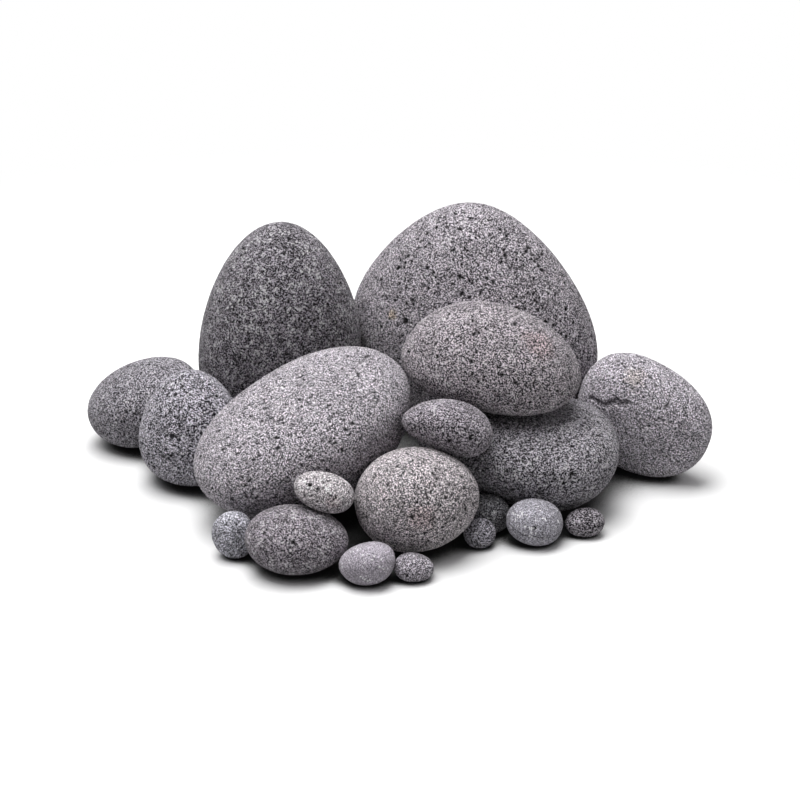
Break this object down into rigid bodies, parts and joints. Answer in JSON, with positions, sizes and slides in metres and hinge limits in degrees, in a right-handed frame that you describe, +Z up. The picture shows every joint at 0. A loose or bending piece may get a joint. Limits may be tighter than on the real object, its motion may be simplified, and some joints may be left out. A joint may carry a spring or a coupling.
{
  "type": "basalt massage stones",
  "caption": "Set of loose, rounded, pitted basalt massage stones, from toe stones to back stones, heaped on a surface; each stone lifts off by itself.",
  "frame": {"origin": "centre, in plan, of the box around the whole set at rest, on the surface that the stones rest on", "axes": "+X along the set's length, to the right seen from its front row; +Y from the front row of small stones towards the largest stone at the back; +Z up"},
  "size_m": [0.3886, 0.2952, 0.1525],
  "materials": {
    "largest_basalt": "matte mid-grey basalt with small open pits and a faint ochre stain",
    "upright_egg_basalt": "matte charcoal basalt with clusters of pale flecks",
    "dark_carrier_basalt": "matte dark basalt, coarse pits",
    "creased_basalt": "matte mid-grey basalt with a jagged crease and a faint yellow-brown stain",
    "long_egg_basalt": "matte light mauve-grey basalt with small pits drawn out in streaks",
    "far_left_basalt": "matte mid-grey basalt, fine grain",
    "pitted_basalt": "matte dark-speckled basalt with many open black pits",
    "palm_basalt": "matte warm light grey basalt with small pits and a faint pinkish patch",
    "flecked_oval_basalt": "matte dark grey basalt with white flecks",
    "small_blue_basalt": "matte bluish grey basalt, pitted",
    "half_hidden_basalt": "matte dark basalt",
    "smallest_basalt": "matte dark basalt",
    "cracked_round_basalt": "matte light bluish grey basalt with a hairline crack",
    "speckled_toe_basalt": "matte dark mauve basalt with coarse light specks",
    "blunt_toe_basalt": "matte light mauve-grey basalt, smooth",
    "flat_toe_basalt": "matte mauve-grey basalt",
    "perched_oval_basalt": "matte light beige-grey basalt with a few dark pits",
    "bean_basalt": "matte grey basalt, fine pits",
    "top_egg_basalt": "matte mid-grey basalt, fine speckle and a faint pinkish patch"
  },
  "bodies": {
    "largest_stone": {"largest_stone": "largest_basalt"},
    "upright_egg_stone": {"upright_egg_stone": "upright_egg_basalt"},
    "dark_carrier_stone": {"dark_carrier_stone": "dark_carrier_basalt"},
    "creased_stone": {"creased_stone": "creased_basalt"},
    "long_egg_stone": {"long_egg_stone": "long_egg_basalt"},
    "far_left_stone": {"far_left_stone": "far_left_basalt"},
    "pitted_stone": {"pitted_stone": "pitted_basalt"},
    "palm_stone": {"palm_stone": "palm_basalt"},
    "flecked_oval_stone": {"flecked_oval_stone": "flecked_oval_basalt"},
    "small_blue_stone": {"small_blue_stone": "small_blue_basalt"},
    "half_hidden_stone": {"half_hidden_stone": "half_hidden_basalt"},
    "smallest_stone": {"smallest_stone": "smallest_basalt"},
    "cracked_round_stone": {"cracked_round_stone": "cracked_round_basalt"},
    "speckled_toe_stone": {"speckled_toe_stone": "speckled_toe_basalt"},
    "blunt_toe_stone": {"blunt_toe_stone": "blunt_toe_basalt"},
    "flat_toe_stone": {"flat_toe_stone": "flat_toe_basalt"},
    "perched_oval_stone": {"perched_oval_stone": "perched_oval_basalt"},
    "bean_stone": {"bean_stone": "bean_basalt"},
    "top_egg_stone": {"top_egg_stone": "top_egg_basalt"}
  },
  "joints": [
    {"name": "upright_egg_lift", "type": "slide", "parent": "largest_stone", "child": "upright_egg_stone", "axis": [0, 0, 1], "range_m": [0, 0.25]},
    {"name": "dark_carrier_lift", "type": "slide", "parent": "largest_stone", "child": "dark_carrier_stone", "axis": [0.25, -0.433, 0.866], "range_m": [0, 0.25]},
    {"name": "creased_lift", "type": "slide", "parent": "largest_stone", "child": "creased_stone", "axis": [0.7071, 0, 0.7071], "range_m": [0, 0.25]},
    {"name": "long_egg_lift", "type": "slide", "parent": "largest_stone", "child": "long_egg_stone", "axis": [-0.2241, -0.1294, 0.9659], "range_m": [0, 0.25]},
    {"name": "far_left_lift", "type": "slide", "parent": "largest_stone", "child": "far_left_stone", "axis": [-0.433, 0.25, 0.866], "range_m": [0, 0.25]},
    {"name": "pitted_lift", "type": "slide", "parent": "largest_stone", "child": "pitted_stone", "axis": [-0.6124, -0.3536, 0.7071], "range_m": [0, 0.25]},
    {"name": "palm_lift", "type": "slide", "parent": "dark_carrier_stone", "child": "palm_stone", "axis": [0, -0.5, 0.866], "range_m": [0, 0.25]},
    {"name": "flecked_oval_lift", "type": "slide", "parent": "largest_stone", "child": "flecked_oval_stone", "axis": [-0.25, -0.433, 0.866], "range_m": [0, 0.25]},
    {"name": "small_blue_lift", "type": "slide", "parent": "largest_stone", "child": "small_blue_stone", "axis": [-0.433, -0.25, 0.866], "range_m": [0, 0.25]},
    {"name": "half_hidden_lift", "type": "slide", "parent": "largest_stone", "child": "half_hidden_stone", "axis": [0.433, -0.75, 0.5], "range_m": [0, 0.25]},
    {"name": "smallest_lift", "type": "slide", "parent": "half_hidden_stone", "child": "smallest_stone", "axis": [0.4698, -0.671, 0.5736], "range_m": [0, 0.25]},
    {"name": "cracked_round_lift", "type": "slide", "parent": "half_hidden_stone", "child": "cracked_round_stone", "axis": [0, -0.5, 0.866], "range_m": [0, 0.25]},
    {"name": "speckled_toe_lift", "type": "slide", "parent": "largest_stone", "child": "speckled_toe_stone", "axis": [0.25, -0.433, 0.866], "range_m": [0, 0.25]},
    {"name": "blunt_toe_lift", "type": "slide", "parent": "largest_stone", "child": "blunt_toe_stone", "axis": [0, -0.5, 0.866], "range_m": [0, 0.25]},
    {"name": "flat_toe_lift", "type": "slide", "parent": "largest_stone", "child": "flat_toe_stone", "axis": [0.25, -0.433, 0.866], "range_m": [0, 0.25]},
    {"name": "perched_oval_lift", "type": "slide", "parent": "flecked_oval_stone", "child": "perched_oval_stone", "axis": [0, 0, 1], "range_m": [0, 0.25]},
    {"name": "bean_lift", "type": "slide", "parent": "palm_stone", "child": "bean_stone", "axis": [0, -0.5, 0.866], "range_m": [0, 0.25]},
    {"name": "top_egg_lift", "type": "slide", "parent": "dark_carrier_stone", "child": "top_egg_stone", "axis": [0, 0, 1], "range_m": [0, 0.25]}
  ]
}
